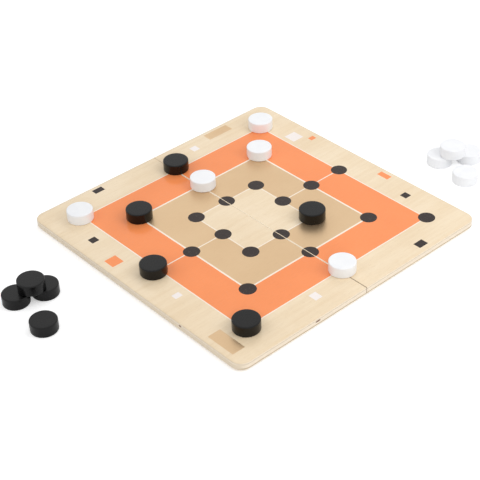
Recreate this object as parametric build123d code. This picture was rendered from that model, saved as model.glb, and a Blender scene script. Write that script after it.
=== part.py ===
from build123d import *
import os
from math import cos, radians, sin

# A folding nine men's morris board with its eighteen men, opened flat for play.
# Two plywood leaves meet edge to edge at a seam and turn on two small brass butt hinges let
# into their undersides, so the board folds with the printed sides outward. Felt pads lift it
# just enough for the hinge barrels to clear the table.
# Millimetres. Origin: the board's centre, on the table. X runs along the seam, Y across it
# (front leaf at -Y, back leaf at +Y) and Z up.

# ---- the two leaves
board_length = 300.0        # along the seam
board_width = 300.0         # across the seam, both leaves together
ply_thickness = 7.5
corner_radius = 11.0
edge_round = 0.8            # sanded arris round the printed side
edge_break = 0.6            # chamfer round the underside
seam_gap = 0.3              # between the two leaves, above the hinges
seam_break = 0.3            # chamfer along the seam

# ---- the printed grid that the men stand on
grid_pitch = 38.6           # between neighbouring points
grid_shift = (0.5, 1.2)     # the print's middle from the board's, along X and Y

# ---- the butt hinges
hinge_length = 30.0
hinge_inset = 55.0          # board's end to the hinge's middle
plate_width = 12.0          # hinge axis to the plate's far edge
plate_thickness = 0.6
plate_corner = 1.5
pin_diameter = 1.0
pin_head_diameter = 1.7
pin_head_height = 0.4
knuckle_count = 5           # odd, so the front plate holds both ends of the pin
knuckle_gap = 0.16          # end play between neighbouring knuckles
pin_clearance = 0.05        # round the pin, in each knuckle
plate_gap = 0.35            # plate's edge to the other plate's knuckles
mortise_clearance = 0.1     # round the plate, in the wood
cove_clearance = 0.25       # round the barrel, in the wood
cove_end_clearance = 0.5    # beyond the pin's heads

# ---- the countersunk wood screws, two to a plate
screw_diameter = 1.8
screw_head_diameter = 3.6
screw_point = 1.6           # length of the tapered point
screw_tip_diameter = 0.5
screw_clearance = 0.05
screw_end_distance = 5.5    # plate's end to the screw
screw_edge_distance = 4.4   # plate's far edge to the screw
wood_over_screw = 1.8       # left between the point and the print
slot_width = 0.5
slot_depth = 0.35
slot_turn = 35.0            # degrees from one screw's slot to the next one's

# ---- the felt pads under the four corners
pad_diameter = 12.0
pad_inset = 20.0            # board's edge to the pad's middle
barrel_table_gap = 0.25     # hinge barrel to the table

# ---- the men
man_diameter = 25.5
man_height = 11.0
man_rim = 0.6               # both rims, broken with a chamfer

# ---- sizes that follow from these
barrel_radius = pin_diameter / 2 + pin_clearance + plate_thickness
pad_thickness = barrel_radius + barrel_table_gap
underside = pad_thickness                   # height of the leaves' underside and the hinge axis
board_top = underside + ply_thickness
knuckle_pitch = hinge_length / knuckle_count
head_depth = (screw_head_diameter - screw_diameter) / 2
screw_length = ply_thickness - wood_over_screw
hinge_places = {"left": hinge_inset - board_length / 2, "right": board_length / 2 - hinge_inset}
leaf_sides = {"front": -1, "back": 1}       # which way the leaf lies from the seam, along Y

# ---- where the men stand. On the board: column and row of the grid point, -3 to 3 each way,
# then how far the man was put down from it, in millimetres along X and Y.
men_on_board = {
    "black_man_1": (3, -3, 0.4, 1.9),
    "black_man_2": (0, -3, -0.4, -5.8),
    "black_man_3": (-2, -2, 0.0, 0.0),
    "black_man_4": (-3, 0, -1.9, 1.9),
    "black_man_5": (1, 1, 1.3, 0.6),
    "white_man_1": (-3, 3, 0.0, 0.0),
    "white_man_2": (-2, 2, 0.5, 1.0),
    "white_man_3": (-2, 0, 2.1, 1.3),
    "white_man_4": (3, 0, 1.1, 1.4),
    "white_man_5": (-3, -3, -0.3, -2.8),
}
# Standing alone on the table: side of the board, place along X, distance beyond the board.
lone_men = {
    "black_man_9": ("front", -13.6, 82.0),
    "white_man_9": ("back", 92.9, 51.0),
}
# A heap is two men on the table and a third across the tops of both: names, side of the board,
# the first man's place along X and distance beyond the board, the bearing in degrees and the
# space from it to the second man, and how far the top man lies from midway between them.
heaps = [
    (("black_man_6", "black_man_7", "black_man_8"), "front", -54.3, 52.1, -105.9, 2.2, (1.9, 0.9)),
    (("white_man_6", "white_man_7", "white_man_8"), "back", 53.5, 57.9, 56.8, 5.0, (1.2, -4.8)),
]


def barrel(x_from, x_to, radius):
    """A round bar on the hinge axis."""
    return Pos((x_from + x_to) / 2, 0, underside) * Rot(0, 90, 0) * Cylinder(radius, x_to - x_from)


def screw_spots(side):
    """X and Y of each screw in one leaf, for both hinges."""
    reach = hinge_length / 2 - screw_end_distance
    y = side * (plate_width - screw_edge_distance)
    return [(middle + end * reach, y) for middle in hinge_places.values() for end in (-1, 1)]


def screw_body(growth):
    """A countersunk screw pointing up out of the underside, grown all round by growth."""
    head = screw_head_diameter / 2 + 2 * growth
    shank = screw_diameter / 2 + growth
    tip = screw_tip_diameter / 2 + growth
    end = screw_length + growth
    outline = Polyline(
        (0, -growth), (head, -growth), (shank, head_depth),
        (shank, end - screw_point), (tip, end), (0, end), (0, -growth),
    )
    return Rot(90, 0, 0) * revolve(make_face(outline), Axis.Y)


def screw():
    slot = Pos(0, 0, slot_depth / 2) * Box(screw_head_diameter, slot_width, slot_depth)
    return screw_body(0) - slot


def screw_set(side):
    """The four screws that hold one leaf's plates, each driven home at its own angle."""
    return Compound(children=[
        Pos(x, y, underside) * Rot(0, 0, slot_turn * number) * screw()
        for number, (x, y) in enumerate(screw_spots(side))])


def edges_off_seam(face, seam_y):
    """The edges of a leaf's flat face, all but the one along the seam."""
    return [e for e in face.edges() if abs(e.center().Y - seam_y) > 2 * seam_break]


def leaf(side):
    """One plywood half: rounded outer corners, sanded arrises, and the beds for the hinges."""
    depth = (board_width - seam_gap) / 2
    middle = side * (seam_gap / 2 + depth / 2)
    blank = Pos(0, middle, underside) * extrude(Rectangle(board_length, depth), ply_thickness)
    seam_y = side * seam_gap / 2
    uprights = blank.edges().filter_by(Axis.Z)
    blank = fillet([e for e in uprights if abs(e.center().Y) > depth / 2], corner_radius)
    along_seam = [e for e in blank.edges().filter_by(Axis.X) if abs(e.center().Y - seam_y) < seam_break]
    blank = chamfer(along_seam, seam_break)
    blank = fillet(edges_off_seam(blank.faces().sort_by(Axis.Z)[-1], seam_y), edge_round)
    blank = chamfer(edges_off_seam(blank.faces().sort_by(Axis.Z)[0], seam_y), edge_break)

    for place in hinge_places.values():
        bed_length = hinge_length + 2 * mortise_clearance
        bed_width = plate_width + mortise_clearance
        bed = Pos(place, side * bed_width / 2, underside) * Box(
            bed_length, bed_width, 2 * plate_thickness)
        reach = hinge_length / 2 + pin_head_height + cove_end_clearance
        cove = barrel(place - reach, place + reach, barrel_radius + cove_clearance)
        blank = blank - bed - cove
    for x, y in screw_spots(side):
        blank = blank - Pos(x, y, underside) * screw_body(screw_clearance)
    return blank


def hinge_plate(side, place):
    """One half of a hinge: a flat plate and its rolled knuckles, every other one round the pin."""
    inner = barrel_radius + plate_gap
    flat = Pos(place, side * (inner + plate_width) / 2, underside) * extrude(
        Rectangle(hinge_length, plate_width - inner), plate_thickness)
    far_corners = [e for e in flat.edges().filter_by(Axis.Z)
                   if abs(e.center().Y - side * plate_width) < plate_gap]
    plate = fillet(far_corners, plate_corner)

    first = 0 if side == leaf_sides["front"] else 1
    for number in range(first, knuckle_count, 2):
        start = place - hinge_length / 2 + number * knuckle_pitch
        low = start if number == 0 else start + knuckle_gap / 2
        high = start + knuckle_pitch - (0 if number == knuckle_count - 1 else knuckle_gap / 2)
        web = Pos((low + high) / 2, side * inner / 2, underside) * extrude(
            Rectangle(high - low, inner + plate_gap), plate_thickness)
        plate = plate + web + barrel(low, high, barrel_radius)
    bore = barrel(place - hinge_length, place + hinge_length, pin_diameter / 2 + pin_clearance)
    plate = plate - bore
    for x, y in screw_spots(side):
        if abs(x - place) < hinge_length / 2:
            plate = plate - Pos(x, y, underside) * screw_body(screw_clearance)
    return plate


def hinge_pin(place):
    """A straight pin with both ends peened over outside the end knuckles."""
    low = place - hinge_length / 2
    high = place + hinge_length / 2
    pin = barrel(low - pin_head_height, high + pin_head_height, pin_diameter / 2)
    for start in (low - pin_head_height, high):
        pin = pin + barrel(start, start + pin_head_height, pin_head_diameter / 2)
    return pin


def felt_pad(x_side, y_side):
    x = x_side * (board_length / 2 - pad_inset)
    y = y_side * (board_width / 2 - pad_inset)
    return Pos(x, y, pad_thickness / 2) * Cylinder(pad_diameter / 2, pad_thickness)


def man(x, y, foot):
    """A turned disc with both rims broken, standing on the height foot."""
    disc = Cylinder(man_diameter / 2, man_height)
    rims = disc.edges().filter_by(GeomType.CIRCLE)
    return Pos(x, y, foot + man_height / 2) * chamfer(rims, man_rim)


def beyond(side_name, distance):
    """Y of a point on the table, measured out from the board's edge."""
    return leaf_sides[side_name] * (board_width / 2 + distance)


parts = {}
for name, side in leaf_sides.items():
    parts[f"{name}_leaf"] = leaf(side)
    parts[f"{name}_hinge_screws"] = screw_set(side)
    for hinge_name, place in hinge_places.items():
        parts[f"{hinge_name}_hinge_{name}_plate"] = hinge_plate(side, place)
    for end_name, end in (("left", -1), ("right", 1)):
        parts[f"felt_pad_{name}_{end_name}"] = felt_pad(end, side)
for hinge_name, place in hinge_places.items():
    parts[f"{hinge_name}_hinge_pin"] = hinge_pin(place)

for name, (column, row, shift_x, shift_y) in men_on_board.items():
    x = grid_shift[0] + column * grid_pitch + shift_x
    y = grid_shift[1] + row * grid_pitch + shift_y
    parts[name] = man(x, y, board_top)
for name, (side_name, x, distance) in lone_men.items():
    parts[name] = man(x, beyond(side_name, distance), 0)
for names, side_name, x, distance, bearing, space, top_shift in heaps:
    y = beyond(side_name, distance)
    step = man_diameter + space
    across = (step * cos(radians(bearing)), step * sin(radians(bearing)))
    parts[names[0]] = man(x, y, 0)
    parts[names[1]] = man(x + across[0], y + across[1], 0)
    parts[names[2]] = man(x + across[0] / 2 + top_shift[0], y + across[1] / 2 + top_shift[1],
                          man_height)

os.makedirs("parts", exist_ok=True)
for name, piece in parts.items():
    export_step(piece, f"parts/{name}.step")
print(len(parts), "pieces; hinge axis at height", round(underside, 3), "board top", round(board_top, 3))
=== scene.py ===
import math
import random

import bmesh
import bpy
from mathutils import Matrix, Vector


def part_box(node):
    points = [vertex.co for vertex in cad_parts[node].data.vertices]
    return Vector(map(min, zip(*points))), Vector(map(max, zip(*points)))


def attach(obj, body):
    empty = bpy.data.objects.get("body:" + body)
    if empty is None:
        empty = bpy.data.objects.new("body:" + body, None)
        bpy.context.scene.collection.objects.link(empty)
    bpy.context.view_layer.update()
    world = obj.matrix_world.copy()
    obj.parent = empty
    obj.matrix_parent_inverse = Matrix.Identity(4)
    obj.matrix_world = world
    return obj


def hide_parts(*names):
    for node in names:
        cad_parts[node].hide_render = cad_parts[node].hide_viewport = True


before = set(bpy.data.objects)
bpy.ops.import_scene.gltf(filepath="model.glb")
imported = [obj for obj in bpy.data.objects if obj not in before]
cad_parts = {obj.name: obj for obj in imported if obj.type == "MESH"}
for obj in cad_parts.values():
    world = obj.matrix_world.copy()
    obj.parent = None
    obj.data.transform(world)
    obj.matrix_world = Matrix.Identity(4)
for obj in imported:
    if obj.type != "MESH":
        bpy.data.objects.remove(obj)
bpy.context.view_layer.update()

# ---- The two leaves
# Each half of the board is birch plywood: five plies, each with its grain turned across the
# next. The arrises are sanded round, the faces are smooth, and a thin clear varnish covers all.
# Positions below are in millimetres, as the leaves are made.

MM = 0.001
leaf_low, leaf_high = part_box("front_leaf")
underside = leaf_low.z / MM
board_top = leaf_high.z / MM
half_length = leaf_high.x / MM
half_width = -leaf_low.y / MM


class Wire:
    """One socket of a material on its way through it, with Python's operators for its maths."""

    def __init__(self, socket):
        self.socket = socket

    def node(self, kind, settings=None, values=None, output=0):
        """Adds a node: its settings first, then the values or links of its sockets."""
        made = self.socket.id_data.nodes.new("ShaderNode" + kind)
        for name, value in (settings or {}).items():
            setattr(made, name, value)
        for name, value in (values or {}).items():
            made_socket = made.inputs[name]
            if isinstance(value, Wire):
                self.socket.id_data.links.new(value.socket, made_socket)
            else:
                made_socket.default_value = value
        return Wire(made.outputs[output])

    def maths(self, operation, *operands):
        return self.node("Math", {"operation": operation}, dict(enumerate(operands)))

    def __add__(self, other):
        return self.maths("ADD", self, other)

    def __sub__(self, other):
        return self.maths("SUBTRACT", self, other)

    def __rsub__(self, other):
        return self.maths("SUBTRACT", other, self)

    def __mul__(self, other):
        return self.maths("MULTIPLY", self, other)

    def __truediv__(self, other):
        return self.maths("DIVIDE", self, other)

    def __abs__(self):
        return self.maths("ABSOLUTE", self)

    def __lt__(self, other):
        return self.maths("LESS_THAN", self, other)

    def __gt__(self, other):
        return self.maths("GREATER_THAN", self, other)

    __radd__ = __add__

    def least(self, other):
        return self.maths("MINIMUM", self, other)

    def most(self, other):
        return self.maths("MAXIMUM", self, other)

    def span(self, other):
        """The straight distance made by this step and another at right angles to it."""
        return self.maths("SQRT", self * self + other * other)

    def fade(self, low, high):
        """0 up to low, 1 from high on, and smooth between them."""
        return self.node("MapRange", {"interpolation_type": "SMOOTHSTEP"},
                         {"Value": self, "From Min": low, "From Max": high})

    def times(self, factor):
        """A vector made longer by a number."""
        return self.node("VectorMath", {"operation": "SCALE"}, {0: self, "Scale": factor})

    def parts(self):
        """A vector's X, Y and Z."""
        return [self.node("SeparateXYZ", values={0: self}, output=axis) for axis in range(3)]

    def joined(self, y, z):
        """The vector with this wire as X."""
        return self.node("CombineXYZ", values={0: self, 1: y, 2: z})

    def noise(self, scale, detail=2.0, roughness=0.5):
        """Soft noise round 0.5, at this place; a scale of 1 makes patches about a unit wide."""
        return self.node("TexNoise", values={
            "Vector": self, "Scale": scale, "Detail": detail, "Roughness": roughness})

    def piece_number(self):
        """A number from 0 to 1, which each piece has for itself."""
        return self.node("ObjectInfo", output=5)

    # a Mix node takes its two colours at 6 and 7 and gives its own at 2

    def between(self, low, high):
        """A colour from low, where this wire is 0, to high, where it is 1."""
        return self.node("Mix", {"data_type": "RGBA"}, {0: self, 6: low, 7: high}, output=2)

    def coated(self, paint, mask, how="MIX"):
        """This colour with a paint over it, as thick as the mask says."""
        return self.node("Mix", {"data_type": "RGBA", "blend_type": how},
                         {0: mask, 6: self, 7: paint}, output=2)

    def bump(self):
        """A surface normal for a height in millimetres."""
        return self.node("Bump", values={"Height": self, "Strength": 1.0, "Distance": MM})


def screen(red, green, blue):
    """A colour given as on a screen, 0 to 255, in the units that a shader takes."""
    linear = [c / 12.92 if c <= 0.04045 else ((c + 0.055) / 1.055) ** 2.4
              for c in (red / 255, green / 255, blue / 255)]
    return (*linear, 1.0)


def new_finish(name, **settings):
    """A material with these shader settings, its shader's inputs, and its node for places."""
    material = bpy.data.materials.new(name)
    material.use_nodes = True
    shader = material.node_tree.nodes["Principled BSDF"]
    for socket, value in settings.items():
        shader.inputs[socket.replace("_", " ")].default_value = value
    here = material.node_tree.nodes.new("ShaderNodeTexCoord")
    return material, shader.inputs, here


def feed(wire, socket):
    wire.socket.id_data.links.new(wire.socket, socket)


def cover(node, material):
    """A CAD node gets the material in each of its slots."""
    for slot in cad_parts[node].material_slots:
        slot.material = material


core_ply = 3.4
crossband_ply = 1.0
half_glue_line = 0.05
ply_wave = 0.35                 # the plies rise and fall by up to half of this
grain_stretch = 26.0            # fibres are that much longer than they are wide
veneer_pale = screen(245, 226, 196)
veneer_warm = screen(232, 207, 170)
fibre_brown = screen(214, 184, 142)
pore_brown = screen(176, 138, 98)
edge_pale = screen(247, 234, 216)
end_grain = screen(205, 187, 156)
glue_brown = screen(136, 106, 78)
knot_brown = screen(104, 50, 28)
knot_depth = 0.5                # in from the leaf's edge
# painted light along the seam, against the shade in its narrow gap
seam_painted_light = screen(255, 243, 222)
painted_light_half = 118               # the seam is painted lighter that far to the left and right of its middle
painted_light_width = 0.5              # each way from the seam's middle
painted_light_height = 1.2             # down from the board's top
# painted shade for the seam's gap at its right-hand end
seam_shade_brown = screen(122, 90, 58)
seam_shade_width = 0.6               # each way from the seam's middle, too
seam_shade_start = 1.0               # up from the underside

plywood, plywood_inputs, plywood_place = new_finish(
    "printed_birch_plywood", IOR=1.5, Specular_IOR_Level=0.38)
place = Wire(plywood_place.outputs["Object"]).times(1 / MM)
x, y, z = place.parts()
normal_x, normal_y, normal_z = Wire(plywood_place.outputs["Normal"]).parts()
middle_height = (underside + board_top) / 2

wave = (place.noise(0.05) - 0.5) * ply_wave
from_core = abs(z + wave - middle_height) - core_ply / 2
crossband = (from_core > 0) * (from_core < crossband_ply)
glue_line = (abs(from_core) < half_glue_line).most(abs(from_core - crossband_ply) < half_glue_line)
# the face plies and the core have their grain along Y, the crossbands along X
shrink = 1 - 1 / grain_stretch
fibre_place = (x * (1 - crossband * shrink)).joined(y * (1 - shrink + crossband * shrink), z)
fibres = fibre_place.noise(2.6, 4.0, 0.6)
dark_fibres = (0.5 - fibres).most(0)
figure = fibre_place.noise(0.16, 3.0, 0.55)
cloud = place.noise(0.018, 2.0)
pores = fibre_place.noise(5.5, 1.0, 0.4).fade(0.66, 0.74)

wood = (figure.fade(0.36, 0.66) * 0.32 + cloud.fade(0.35, 0.65) * 0.3).between(
    veneer_pale, veneer_warm)
wood = wood.coated(fibre_brown, dark_fibres * 1.3)
wood = wood.coated(pore_brown, pores * 0.22)

on_edge = 1 - abs(normal_z).fade(0.3, 0.9)
shaded_lower_half = z < middle_height
cut_across = abs(normal_y) * (1 - crossband) + abs(normal_x) * crossband
wood = wood.coated(edge_pale, on_edge * 0.7)
# end grain and glue lines are the wood's own; their extra darkness in the lower half is painted shade
# towards the table
wood = wood.coated(end_grain,
                   cut_across.fade(0.3, 0.9) * (crossband * (shaded_lower_half * 0.5 + 0.07) + 0.38))
wood = wood.coated(glue_brown, glue_line * on_edge * (shaded_lower_half * 0.45 + 0.25))

# small knots that the sanded edge has cut: middle across, middle up, half sizes, on which side
edge_knots = [
    (y, -60.2, board_top - 2.9, 3.4, 1.0, x > half_length - knot_depth),
    (x, 72.6, board_top - 2.3, 1.8, 1.1, y < knot_depth - half_width),
]
for across, middle, height, half_across, half_height, side in edge_knots:
    off_across = (across - middle) / half_across
    off_height = (z - height) / half_height
    knot = (1 - (off_across * off_across + off_height * off_height)).fade(0.0, 0.5)
    wood = wood.coated(knot_brown, knot * side * 0.92)

# the arrises and walls along the seam are painted lighter, a painted light against the shade in
# the narrow gap, and at its right-hand end the gap is painted darker again, a painted shade
along_seam = (abs(y) < painted_light_width) * (z > board_top - painted_light_height)
wood = wood.coated(seam_painted_light, along_seam * (x < painted_light_half) * (x > -painted_light_half) * 0.85)
# painted shade: the seam's gap and the edge beside it darkened at the right-hand end
seam_end_shade = (abs(y + wave) < seam_shade_width) * (x > painted_light_half) * (z > underside + seam_shade_start)
wood = wood.coated(seam_shade_brown, seam_end_shade * 0.45)

# ---- The print on the leaves
# Screen-printed inks on the upper veneer: a tan and an orange band between three squares of
# cream line, with a black dot at each of the twenty-four points and small patches on the rim.
# The tan ink is full of fine bronze powder, so it mirrors softly what stands on it.

black_shift = (0.5, 1.2)        # the black screen's middle from the board's, along X and Y
colour_shift = (0.3, 0.75)      # and the middle of the colours and lines
pitch = 38.6                    # between neighbouring points
line_width = 1.15
middle_line_width = 1.75
seam_line_width = 1.5           # along the seam, half on each leaf
dot_radius = 8.1
bare_seam = 0.4                 # the dots on the seam stop this far short of it
ink_creep = 0.22                # how far its edges stray, half of it each way
ink_reach = 0.04                # from the veneer's face down
ink_orange = screen(254, 151, 91)
ink_tan = screen(228, 197, 157)
ink_cream = screen(255, 243, 226)
ink_black = screen(36, 20, 15)
ink_white = screen(250, 243, 240)
fibre_shade = screen(150, 120, 96)      # both darken the inks as the wood under them does
cloud_shade = screen(235, 225, 215)
bronze_share = 0.85
bronze_roughness = 0.22
rim_patches = [                 # middle from the black screen's, along X and Y, width and depth
    (-142.7, -77.5, 7.0, 11.4, ink_black),
    (-133.4, 39.5, 8.2, 7.8, ink_white),
    (-140.5, 77.5, 11.0, 30.5, ink_tan),
    (-78.8, -131.1, 7.9, 7.9, ink_black),
    (-39.0, -137.4, 13.0, 12.6, ink_orange),
    (40.3, -128.0, 6.4, 8.0, ink_white),
    (117.3, -138.0, 32.0, 13.8, ink_tan),
    (139.5, 80.9, 8.4, 10.9, ink_black),
    (126.4, -41.7, 9.4, 8.2, ink_white),
    (76.9, 129.3, 7.9, 7.7, ink_black),
    (38.8, 140.3, 13.6, 6.6, ink_orange),
    (-77.3, 127.6, 13.8, 13.6, ink_white),
    (-61.9, 139.0, 5.6, 6.8, ink_orange),
]

creep = (place.noise(1.3, 2.0) - 0.5) * ink_creep
black_x, black_y = x - black_shift[0] + creep, y - black_shift[1] + creep
colour_x, colour_y = x - colour_shift[0] + creep, y - colour_shift[1] + creep


def on_grid(across, up):
    """A place's steps out from the middle, its nearest square, and how far it is off that
    square's line and, along the line, off a point."""
    column, row = abs(across) / pitch, abs(up) / pitch
    ring = column.most(row)
    spoke = column.least(row)
    square = ring.maths("ROUND", ring).most(1).least(3)
    return ring, square, abs(ring - square) * pitch, spoke.least(abs(spoke - square)) * pitch


ring, square, off_line, _ = on_grid(colour_x, colour_y)
tan_band = (ring > 1) * (ring < 2)
orange_band = (ring > 2) * (ring < 3)
bands = tan_band.most(orange_band)
on_middle_square = abs(square - 2) < 0.5
lines = off_line < (line_width + on_middle_square * (middle_line_width - line_width)) / 2
lines = lines.most((abs(colour_x) < line_width / 2) * bands)
lines = lines.most((abs(y) < seam_line_width / 2) * bands)
_, _, off_line, off_point = on_grid(black_x, black_y)
dots = (off_line * off_line + off_point * off_point) < dot_radius * dot_radius
dots = dots * (abs(y) > bare_seam)

ink = orange_band.between(ink_tan, ink_orange).coated(ink_cream, lines).coated(ink_black, dots)
inked = bands.most(lines).most(dots)
bronze = tan_band * (1 - lines.most(dots))
for middle_x, middle_y, width, depth, colour in rim_patches:
    patch = (abs(black_x - middle_x) < width / 2) * (abs(black_y - middle_y) < depth / 2)
    ink = ink.coated(colour, patch)
    inked = inked.most(patch)
    if colour is ink_tan:
        bronze = bronze.most(patch)
printed_side = z > board_top - ink_reach
inked, bronze = inked * printed_side, bronze * printed_side
ink = ink.coated(fibre_shade, dark_fibres * 0.35, "MULTIPLY")
ink = ink.coated(cloud_shade, cloud.fade(0.3, 0.7) * 0.25, "MULTIPLY")

feed(wood.coated(ink, inked * (1 - pores * 0.12)), plywood_inputs["Base Color"])
varnish_roughness = place.noise(0.06, 3.0) * 0.07 + fibres * 0.06 + 0.09
feed(varnish_roughness + bronze * bronze_roughness, plywood_inputs["Roughness"])
feed(bronze * bronze_share, plywood_inputs["Metallic"])

# sanding by hand rolls the faces off a little before they reach the arris
corner_radius = 11.0
roll_width = 4.0
roll_depth = 0.75
past_x = abs(x) - (half_length - corner_radius)
past_y = abs(y) - (half_width - corner_radius)
round_corner = corner_radius - past_x.most(0).span(past_y.most(0))
from_edge = round_corner - past_x.most(past_y).least(0)
roll = (1 - from_edge / roll_width).most(0)
relief = fibres * 0.012 - pores * 0.02 + inked * 0.02 - glue_line * 0.02
feed((relief - roll * roll * roll_depth).bump(), plywood_inputs["Normal"])
for leaf in ("front_leaf", "back_leaf"):
    cover(leaf, plywood)

# ---- The hinges and their screws
# Two small butt hinges of rolled brass sheet let into the underside, each turning on a brass pin
# with peened ends, held by slotted countersunk brass screws. The brass is bright but handled.

brass_bright = screen(226, 192, 120)
brass_dull = screen(196, 156, 92)
brass_streak = screen(206, 168, 104)
brass_old = screen(170, 128, 74)
streak_length = 30              # along the sheet, the way it was rolled
streak_shift = 10               # each piece is streaked and dulled in its own places
tarnish_shift = 300

brass, brass_inputs, brass_place = new_finish("rolled_brass", Metallic=1.0)
x, y, z = Wire(brass_place.outputs["Object"]).times(1 / MM).parts()
which = x.piece_number()
place = (x + which * tarnish_shift).joined(y, z)
streaks = (x / streak_length + which * streak_shift).joined(y, z).noise(9.0, 3.0)
tarnish = place.noise(0.22, 5.0, 0.65).fade(0.4, 0.8)
metal = tarnish.between(brass_bright, brass_dull)
metal = metal.coated(brass_streak, streaks.fade(0.4, 0.6) * 0.3)
feed(metal.coated(brass_old, which * 0.3), brass_inputs["Base Color"])
feed(tarnish * 0.16 + streaks * 0.1 + 0.24, brass_inputs["Roughness"])
feed((streaks * 0.004 + place.noise(1.6) * 0.008).bump(), brass_inputs["Normal"])
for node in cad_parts:
    if "hinge" in node:
        cover(node, brass)

# ---- The felt pads
# Discs punched from dark green wool felt and glued under the four corners. The punch leaves the
# cut edge a little ragged, and the faces are flat.

felt_deep = screen(38, 62, 44)
felt_light = screen(84, 112, 86)

felt, felt_inputs, felt_place = new_finish(
    "green_wool_felt", Roughness=0.95, Sheen_Weight=0.4, Specular_IOR_Level=0.2)
tangle = Wire(felt_place.outputs["Object"]).times(1 / MM).noise(4.0, 5.0, 0.7)
feed(tangle.fade(0.35, 0.65).between(felt_deep, felt_light), felt_inputs["Base Color"])
feed((tangle * 0.16).bump(), felt_inputs["Normal"])


def turned(profile, steps):
    """A round shape from (radius, height) points, given from its foot's middle to its top's."""
    shape = bmesh.new()
    hoops = []
    for radius, height in profile:
        if radius == 0:
            hoops.append([shape.verts.new((0, 0, height))] * steps)
            continue
        hoops.append([
            shape.verts.new((radius * math.cos(math.tau * step / steps),
                             radius * math.sin(math.tau * step / steps), height))
            for step in range(steps)])
    for lower, upper in zip(hoops, hoops[1:]):
        for step in range(steps):
            after = (step + 1) % steps
            corners = [lower[step], lower[after], upper[after], upper[step]]
            face = shape.faces.new(dict.fromkeys(corners))      # two of them are one at a middle
            face.smooth = True
    return shape


def as_piece(name, shape, at, material):
    """The finished shape as an object standing at a point."""
    mesh = bpy.data.meshes.new(name)
    shape.to_mesh(mesh)
    shape.free()
    mesh.materials.append(material)
    piece = bpy.data.objects.new(name, mesh)
    piece.location = at
    bpy.context.scene.collection.objects.link(piece)
    return piece


def rim_arc(radius, height, rim, turns, top):
    """The points of a disc's rounded rim, upwards, for its foot or its top."""
    points = []
    for number in range(turns + 1):
        angle = math.radians(90 * number / turns)
        if top:
            points.append((radius - rim + rim * math.cos(angle), height - rim + rim * math.sin(angle)))
        else:
            points.append((radius - rim + rim * math.sin(angle), rim - rim * math.cos(angle)))
    return points


pad_steps = 200
pad_rows = 8                    # of points up the cut edge, between its rims
pad_rim = 0.18 * MM
pad_rim_turns = 3
rag_depth = 0.2 * MM
rag_lift = 0.03 * MM
rag = random.Random(7)
for node in [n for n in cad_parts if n.startswith("felt_pad")]:
    low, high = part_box(node)
    radius, thick = (high.x - low.x) / 2, high.z - low.z
    side = [(radius, pad_rim + (thick - 2 * pad_rim) * number / (pad_rows + 1))
            for number in range(1, pad_rows + 1)]
    profile = [(0, 0), (radius * 0.5, 0), (radius * 0.85, 0),
               *rim_arc(radius, thick, pad_rim, pad_rim_turns, False),
               *side, *rim_arc(radius, thick, pad_rim, pad_rim_turns, True),
               (radius * 0.85, thick), (radius * 0.5, thick), (0, thick)]
    shape = turned(profile, pad_steps)
    for vert in shape.verts:
        out = vert.co.xy.length
        if out > radius * 0.9:
            vert.co.xy *= 1 - (rag.random() ** 2) * rag_depth / out
            if pad_rim < vert.co.z < thick - pad_rim:
                vert.co.z += rag.uniform(-1, 1) * rag_lift
    middle = Vector(((low.x + high.x) / 2, (low.y + high.y) / 2, low.z))
    pad = as_piece("punched_" + node, shape, middle, felt)
    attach(pad, "front_half" if "front" in node else "back_half")
    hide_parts(node)

# ---- The men
# Eighteen discs turned from beech dowel, nine sprayed black and nine white, in satin lacquer.
# Their rims are sanded round, and the lathe's rings still show faintly through the lacquer.

man_steps = 128
man_rim = 0.95 * MM
man_rim_turns = 8
man_crown = 0.04 * MM           # how far the upper face falls away before its rim
lacquer_build = 0.005 * MM      # keeps a man's foot that little off what it stands on
ring_turn = 5.5                 # radians of the lathe's rings to a millimetre
mottle_shift = 500              # each man is mottled in its own places


def lacquer(name, pale, deep, least_roughness, **settings):
    """Sprayed satin lacquer over a turned face: two tones of its colour, and its relief."""
    material, inputs, at = new_finish(name, **settings)
    x, y, z = Wire(at.outputs["Object"]).times(1 / MM).parts()
    place = (x + x.piece_number() * mottle_shift).joined(y, z)
    rings = x.maths("SINE", x.span(y) * ring_turn + place.noise(0.3) * 3)
    peel = place.noise(0.9, 2.0)
    speck = place.noise(3.4, 3.0, 0.6)
    feed(place.noise(0.12, 2.0).fade(0.35, 0.65).between(pale, deep), inputs["Base Color"])
    feed(place.noise(0.2, 3.0) * 0.1 + speck * 0.05 + least_roughness, inputs["Roughness"])
    feed((rings * 0.001 + peel * 0.004 + speck * 0.0006).bump(), inputs["Normal"])
    return material


man_finish = {
    "black": lacquer("black_lacquer", screen(5, 5, 6), screen(8, 7, 7),
                     least_roughness=0.2, Specular_IOR_Level=0.3),
    "white": lacquer("white_lacquer", screen(246, 247, 249), screen(243, 244, 247),
                     least_roughness=0.28, Specular_IOR_Level=0.4),
}
for colour, finish in man_finish.items():
    for number in range(1, 10):
        node = f"{colour}_man_{number}"
        low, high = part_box(node)
        radius, height = (high.x - low.x) / 2, high.z - low.z - lacquer_build
        flat = radius - 2.2 * man_rim
        profile = [(0, 0), (radius * 0.5, 0), (flat, 0),
                   *rim_arc(radius, height, man_rim, man_rim_turns, False),
                   (radius, height * 0.3), (radius, height * 0.5), (radius, height * 0.7),
                   *rim_arc(radius, height - man_crown, man_rim, man_rim_turns, True),
                   (flat, height - man_crown * 0.3), (radius * 0.5, height), (0, height)]
        middle = Vector(((low.x + high.x) / 2, (low.y + high.y) / 2, low.z + lacquer_build))
        man = as_piece(f"turned_{node}", turned(profile, man_steps), middle, finish)
        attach(man, f"{colour}_{number}")
        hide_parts(node)

# ---- The table and the studio
# The board lies open on a seamless white table in a white room. Four broad soft lamps stand
# round it, the strongest to its right and the nearest behind it.

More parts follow.
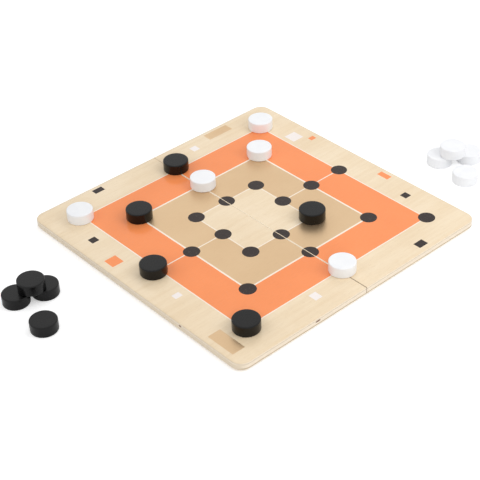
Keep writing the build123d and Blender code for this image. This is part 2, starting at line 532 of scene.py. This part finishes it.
table_reach = 4.0
table_pale = (0.93, 0.93, 0.93, 1)      # to the light that it throws back
table_white = (1, 1, 1, 1)              # to the camera
no_glow = (0, 0, 0, 1)
near_glow = (0.3, 0.3, 0.3, 1)
far_glow = (0.45, 0.45, 0.45, 1)        # beyond the lamps' reach

table_top, table_inputs, table_place = new_finish(
    "white_table", Roughness=0.9, Specular_IOR_Level=0.0, Emission_Strength=1.0)
x, y, z = Wire(table_place.outputs["Object"]).parts()
seen = x.node("LightPath")              # 1 to the camera, 0 to the light
glow = x.span(y).fade(0.35, 1.1).between(near_glow, far_glow)   # by metres from the middle
feed(seen.between(table_pale, table_white), table_inputs["Base Color"])
feed(seen.between(no_glow, glow), table_inputs["Emission Color"])
shape = bmesh.new()
bmesh.ops.create_grid(shape, x_segments=8, y_segments=8, size=table_reach)
table = as_piece("table", shape, (0, 0, 0), table_top)

# the camera looks down from the front right at a point on the board's top
camera_turn = math.radians(49.684)
camera_height = math.radians(36.354)
camera_roll = math.radians(-2.659)
camera_distance = 1.19672
camera_aim = Vector((18.565, -32.228, board_top)) * MM
flat_right = Vector((math.cos(camera_turn), math.sin(camera_turn), 0))
flat_back = Vector((math.sin(camera_turn), -math.cos(camera_turn), 0))
back = flat_back * math.cos(camera_height) + Vector((0, 0, math.sin(camera_height)))
view_right = flat_right * math.cos(camera_roll) + back.cross(flat_right) * math.sin(camera_roll)
view_up = back.cross(view_right)
camera_data = bpy.data.cameras.new("camera")
camera_data.sensor_width = 36.0
camera_data.lens = 96.44
camera = bpy.data.objects.new("camera", camera_data)
camera.matrix_world = (Matrix.Translation(camera_aim + back * camera_distance)
                       @ Matrix((view_right, view_up, back)).transposed().to_4x4())
bpy.context.scene.collection.objects.link(camera)
bpy.context.scene.camera = camera

lamps = {       # bearing from the camera's right, height, distance, width, share of the light
    "right_lamp": (-19.0, 44.0, 1.0, 0.7, 0.185),
    "left_lamp": (199.0, 44.0, 1.8, 1.26, 0.08),
    "back_lamp": (75.0, 52.0, 0.75, 0.45, 0.12),
    "front_lamp": (-85.0, 32.0, 1.8, 0.81, 0.09),
}
for name, (bearing, height, distance, width, share) in lamps.items():
    turn, rise = math.radians(bearing), math.radians(height)
    towards = (flat_right * math.cos(turn) - flat_back * math.sin(turn)) * math.cos(rise)
    towards.z = math.sin(rise)
    lamp_data = bpy.data.lights.new(name, "AREA")
    lamp_data.shape = "DISK"
    lamp_data.size = width
    lamp_data.energy = share * (math.pi * distance) ** 2 / math.sin(rise)
    lamp = bpy.data.objects.new(name, lamp_data)
    lamp.rotation_mode = "QUATERNION"
    lamp.rotation_quaternion = towards.to_track_quat("Z", "Y")
    lamp.location = towards * distance
    lamp.visible_glossy = False         # the varnish and lacquer mirror the white room alone
    bpy.context.scene.collection.objects.link(lamp)

room_light = 0.58               # on the object; seen or mirrored, the room is pure white
world = bpy.data.worlds.new("white_room")
bpy.context.scene.world = world
world.use_nodes = True
room = world.node_tree.nodes["Background"].inputs
path = world.node_tree.nodes.new("ShaderNodeLightPath")
direct = (Wire(path.outputs["Is Camera Ray"])
          .most(Wire(path.outputs["Is Glossy Ray"])).most(Wire(path.outputs["Is Transmission Ray"])))
feed(direct * (1 - room_light) + room_light, room["Strength"])
room["Color"].default_value = (1, 1, 1, 1)

bpy.context.scene.view_settings.view_transform = "Standard"
